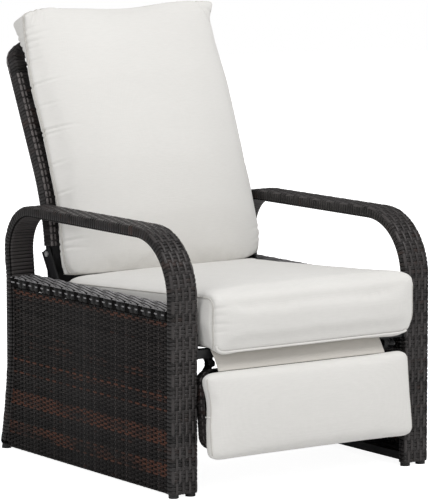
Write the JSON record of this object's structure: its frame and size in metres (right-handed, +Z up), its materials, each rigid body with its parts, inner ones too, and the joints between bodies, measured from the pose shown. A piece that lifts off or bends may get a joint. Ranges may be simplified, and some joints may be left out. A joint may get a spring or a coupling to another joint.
{
  "type": "reclining garden armchair",
  "caption": "Woven reclining garden armchair with looped side frames, leaning back, lift-up footrest and loose cushions.",
  "frame": {"origin": "middle of the chair's footprint, on the floor", "axes": "+Z up, +X towards the right arm as seen from the front, the sitter faces -Y"},
  "size_m": [0.7, 0.8929, 1.0266],
  "materials": {
    "wicker_band": "woven resin wicker, dark espresso, satin",
    "wicker_panel": "fine woven resin wicker with brown streaks, satin",
    "black_steel": "black powder coat",
    "zinc_steel": "bright zinc plate",
    "black_plastic": "moulded, matt",
    "cushion_fabric": "plain woven polyester, cream",
    "flap_fabric": "plain woven polyester, cream"
  },
  "bodies": {
    "base": {"side_tubes_right": "black_steel", "side_tubes_left": "black_steel", "side_wrap_right": "wicker_band", "side_wrap_left": "wicker_band", "waist_tubes_right": "black_steel", "waist_tubes_left": "black_steel", "waist_wrap_right": "wicker_band", "waist_wrap_left": "wicker_band", "side_panel_right": "wicker_panel", "side_panel_left": "wicker_panel", "bottom_rails_right": "black_steel", "bottom_rails_left": "black_steel", "foot_glides": "black_plastic", "seat_side_rail_right": "black_steel", "seat_side_rail_left": "black_steel", "seat_front_rail": "black_steel", "seat_rear_rail": "black_steel", "rear_cross_rail": "black_steel", "seat_slats": "black_steel", "seat_flanges": "black_steel", "flange_bolts": "zinc_steel", "hinge_plates_right": "black_steel", "hinge_plates_left": "black_steel", "guide_pins": "zinc_steel", "footrest_ears_right": "black_steel", "footrest_ears_left": "black_steel", "pivot_bolts": "zinc_steel", "pivot_nuts": "zinc_steel", "seat_cushion": "cushion_fabric", "fabric_flap": "flap_fabric"},
    "back": {"back_side_tube_left": "black_steel", "back_side_tube_right": "black_steel", "back_side_wrap_left": "wicker_band", "back_side_wrap_right": "wicker_band", "back_top_tube": "black_steel", "back_top_wrap": "wicker_band", "back_low_bar": "black_steel", "back_panel": "wicker_panel", "back_panel_bar": "black_steel", "back_crank_left": "black_steel", "back_crank_right": "black_steel", "pivot_bushes": "black_plastic", "stay_bolts": "zinc_steel", "stay_nuts": "zinc_steel", "stay_spacers": "zinc_steel", "back_link_pins": "zinc_steel", "back_cushion": "cushion_fabric"},
    "footrest": {"footrest_tray": "wicker_panel", "footrest_frame": "black_steel", "footrest_crank_left": "black_steel", "footrest_crank_right": "black_steel", "footrest_hinge_pins": "zinc_steel", "footrest_link_pins": "zinc_steel", "footrest_cushion": "cushion_fabric"},
    "stay_left": {"stay_bar_left": "black_steel"},
    "stay_right": {"stay_bar_right": "black_steel"},
    "link_left": {"push_link_left": "black_steel"},
    "link_right": {"push_link_right": "black_steel"}
  },
  "joints": [
    {"name": "back_recline", "type": "hinge", "parent": "base", "child": "back", "pos_m": [0, 0.23067, 0.296], "axis": [-1, 0, 0], "range_deg": [0, 45]},
    {"name": "footrest_lift", "type": "hinge", "parent": "base", "child": "footrest", "pos_m": [0, -0.36533, 0.286], "axis": [-1, 0, 0], "range_deg": [0, 54.5], "deforming": ["fabric_flap"]},
    {"name": "stay_left_swing", "type": "hinge", "parent": "back", "child": "stay_left", "pos_m": [-0.2775, 0.24812, 0.46209], "axis": [-1, 0, 0], "range_deg": [-14.99, 0.5]},
    {"name": "link_left_swing", "type": "hinge", "parent": "back", "child": "link_left", "pos_m": [-0.2496, 0.27231, 0.21061], "axis": [-1, 0, 0], "range_deg": [-45.5, 0.5]},
    {"name": "stay_right_swing", "type": "hinge", "parent": "back", "child": "stay_right", "pos_m": [0.2775, 0.24812, 0.46209], "axis": [-1, 0, 0], "range_deg": [-14.99, 0.5]},
    {"name": "link_right_swing", "type": "hinge", "parent": "back", "child": "link_right", "pos_m": [0.2496, 0.27231, 0.21061], "axis": [-1, 0, 0], "range_deg": [-45.5, 0.5]}
  ],
  "couplings": [
    {"joint": "footrest_lift", "follows": "back_recline", "ratio": 1.2},
    {"joint": "stay_left_swing", "follows": "back_recline", "ratio": -0.322},
    {"joint": "link_left_swing", "follows": "back_recline", "ratio": -1},
    {"joint": "stay_right_swing", "follows": "back_recline", "ratio": -0.322},
    {"joint": "link_right_swing", "follows": "back_recline", "ratio": -1}
  ]
}
